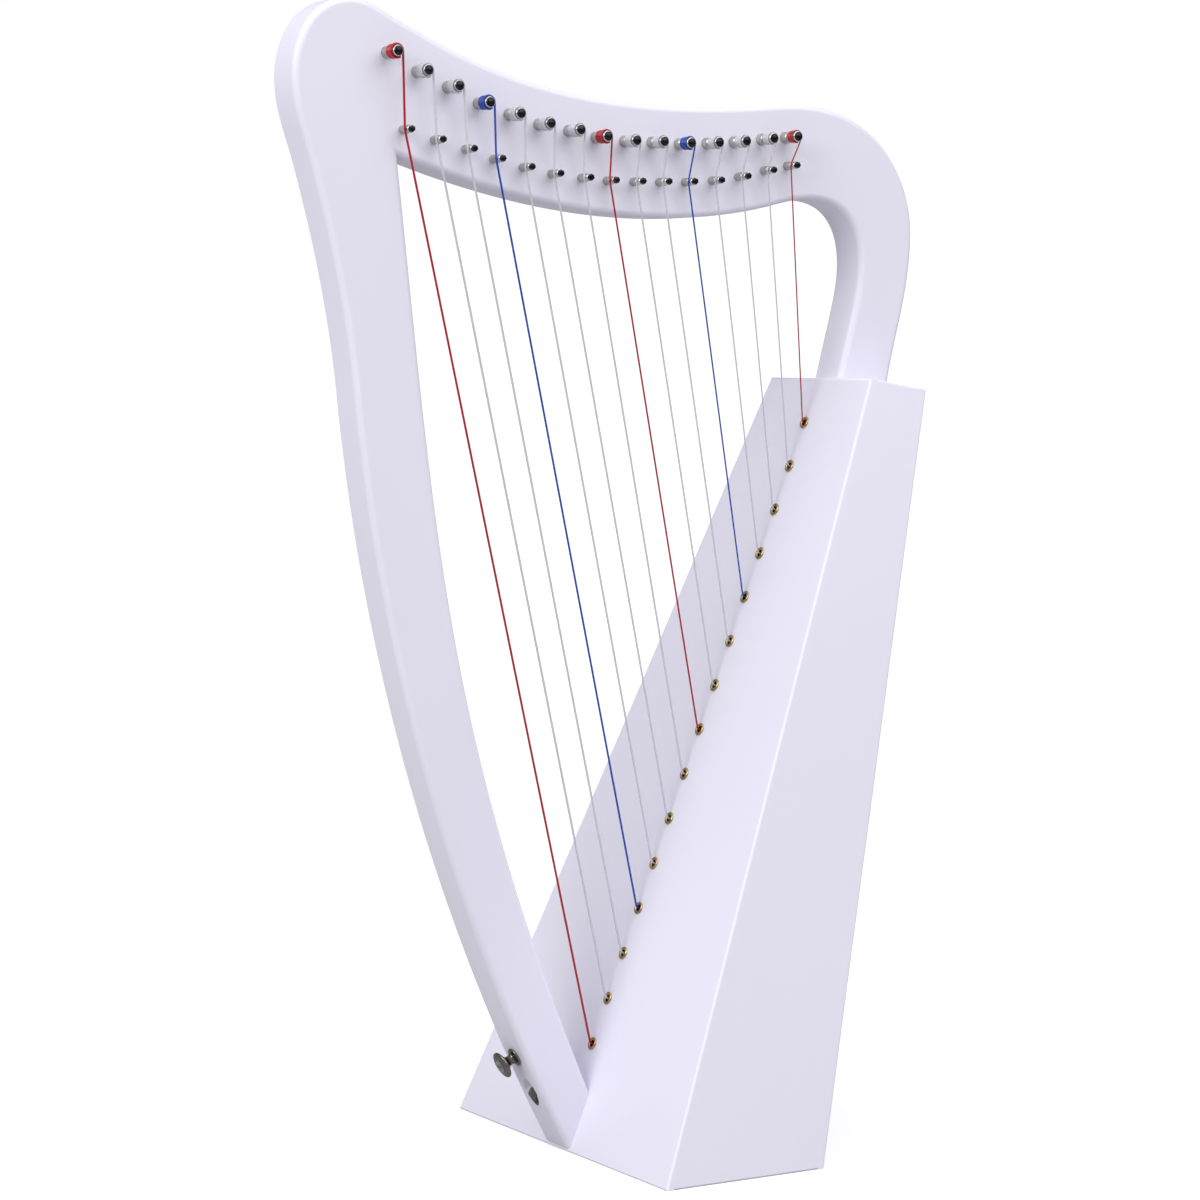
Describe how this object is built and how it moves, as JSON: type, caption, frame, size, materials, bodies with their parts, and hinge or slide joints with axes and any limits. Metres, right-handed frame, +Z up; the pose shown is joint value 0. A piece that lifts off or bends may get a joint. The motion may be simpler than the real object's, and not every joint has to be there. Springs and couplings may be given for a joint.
{
  "type": "lap harp",
  "caption": "Small white lap harp with curved frame, tapered soundbox, turning tuning pins, bridge pins, coloured strings in brass eyelets and a strap button.",
  "frame": {"origin": "middle of the soundbox's flat base, on the ground", "axes": "+X from the pillar to the back of the soundbox, +Y from the string side of the neck to the key side, +Z up"},
  "size_m": [0.3693, 0.218, 0.5888],
  "materials": {
    "white_lacquer": "gloss white lacquer over wood",
    "bare_wood": "bare sanded wood inside the soundbox",
    "nickel": "bright nickel plate on turned steel",
    "steel": "zinc-plated steel",
    "brass": "polished pressed brass",
    "string_red": "red nylon string",
    "string_blue": "blue nylon string",
    "string_clear": "clear nylon string"
  },
  "bodies": {
    "harp": {"pillar": "white_lacquer", "neck": "white_lacquer", "soundboard": "white_lacquer", "side_panels": "white_lacquer", "back_panel": "white_lacquer", "top_block": "white_lacquer", "frame_dowels": "bare_wood", "foot_block": "bare_wood", "base_plate": "bare_wood", "string_rib": "bare_wood", "foot_bolt": "steel", "string_eyelets": "brass", "bridge_pins": "nickel", "strap_button": "nickel", "strap_button_screw": "steel", "string_01": "string_red", "string_02": "string_clear", "string_03": "string_clear", "string_04": "string_blue", "string_05": "string_clear", "string_06": "string_clear", "string_07": "string_clear", "string_08": "string_red", "string_09": "string_clear", "string_10": "string_clear", "string_11": "string_blue", "string_12": "string_clear", "string_13": "string_clear", "string_14": "string_clear", "string_15": "string_red"},
    "pin_01": {"tuning_pin_01": "nickel", "string_coil_01": "string_red"},
    "pin_02": {"tuning_pin_02": "nickel", "string_coil_02": "string_clear"},
    "pin_03": {"tuning_pin_03": "nickel", "string_coil_03": "string_clear"},
    "pin_04": {"tuning_pin_04": "nickel", "string_coil_04": "string_blue"},
    "pin_05": {"tuning_pin_05": "nickel", "string_coil_05": "string_clear"},
    "pin_06": {"tuning_pin_06": "nickel", "string_coil_06": "string_clear"},
    "pin_07": {"tuning_pin_07": "nickel", "string_coil_07": "string_clear"},
    "pin_08": {"tuning_pin_08": "nickel", "string_coil_08": "string_red"},
    "pin_09": {"tuning_pin_09": "nickel", "string_coil_09": "string_clear"},
    "pin_10": {"tuning_pin_10": "nickel", "string_coil_10": "string_clear"},
    "pin_11": {"tuning_pin_11": "nickel", "string_coil_11": "string_blue"},
    "pin_12": {"tuning_pin_12": "nickel", "string_coil_12": "string_clear"},
    "pin_13": {"tuning_pin_13": "nickel", "string_coil_13": "string_clear"},
    "pin_14": {"tuning_pin_14": "nickel", "string_coil_14": "string_clear"},
    "pin_15": {"tuning_pin_15": "nickel", "string_coil_15": "string_red"}
  },
  "joints": [
    {"name": "pin_01_turn", "type": "hinge", "parent": "harp", "child": "pin_01", "pos_m": [-0.15065, 0, 0.5622], "axis": [0, 1, 0], "continuous": true},
    {"name": "pin_02_turn", "type": "hinge", "parent": "harp", "child": "pin_02", "pos_m": [-0.13395, 0, 0.55342], "axis": [0, 1, 0], "continuous": true},
    {"name": "pin_03_turn", "type": "hinge", "parent": "harp", "child": "pin_03", "pos_m": [-0.11675, 0, 0.54649], "axis": [0, 1, 0], "continuous": true},
    {"name": "pin_04_turn", "type": "hinge", "parent": "harp", "child": "pin_04", "pos_m": [-0.09945, 0, 0.53897], "axis": [0, 1, 0], "continuous": true},
    {"name": "pin_05_turn", "type": "hinge", "parent": "harp", "child": "pin_05", "pos_m": [-0.08185, 0, 0.53402], "axis": [0, 1, 0], "continuous": true},
    {"name": "pin_06_turn", "type": "hinge", "parent": "harp", "child": "pin_06", "pos_m": [-0.06465, 0, 0.5297], "axis": [0, 1, 0], "continuous": true},
    {"name": "pin_07_turn", "type": "hinge", "parent": "harp", "child": "pin_07", "pos_m": [-0.04725, 0, 0.52705], "axis": [0, 1, 0], "continuous": true},
    {"name": "pin_08_turn", "type": "hinge", "parent": "harp", "child": "pin_08", "pos_m": [-0.03125, 0, 0.5242], "axis": [0, 1, 0], "continuous": true},
    {"name": "pin_09_turn", "type": "hinge", "parent": "harp", "child": "pin_09", "pos_m": [-0.01425, 0, 0.52268], "axis": [0, 1, 0], "continuous": true},
    {"name": "pin_10_turn", "type": "hinge", "parent": "harp", "child": "pin_10", "pos_m": [0.00225, 0, 0.5226], "axis": [0, 1, 0], "continuous": true},
    {"name": "pin_11_turn", "type": "hinge", "parent": "harp", "child": "pin_11", "pos_m": [0.01875, 0, 0.5223], "axis": [0, 1, 0], "continuous": true},
    {"name": "pin_12_turn", "type": "hinge", "parent": "harp", "child": "pin_12", "pos_m": [0.03575, 0, 0.52313], "axis": [0, 1, 0], "continuous": true},
    {"name": "pin_13_turn", "type": "hinge", "parent": "harp", "child": "pin_13", "pos_m": [0.05245, 0, 0.52432], "axis": [0, 1, 0], "continuous": true},
    {"name": "pin_14_turn", "type": "hinge", "parent": "harp", "child": "pin_14", "pos_m": [0.06955, 0, 0.52627], "axis": [0, 1, 0], "continuous": true},
    {"name": "pin_15_turn", "type": "hinge", "parent": "harp", "child": "pin_15", "pos_m": [0.08465, 0, 0.52768], "axis": [0, 1, 0], "continuous": true}
  ]
}
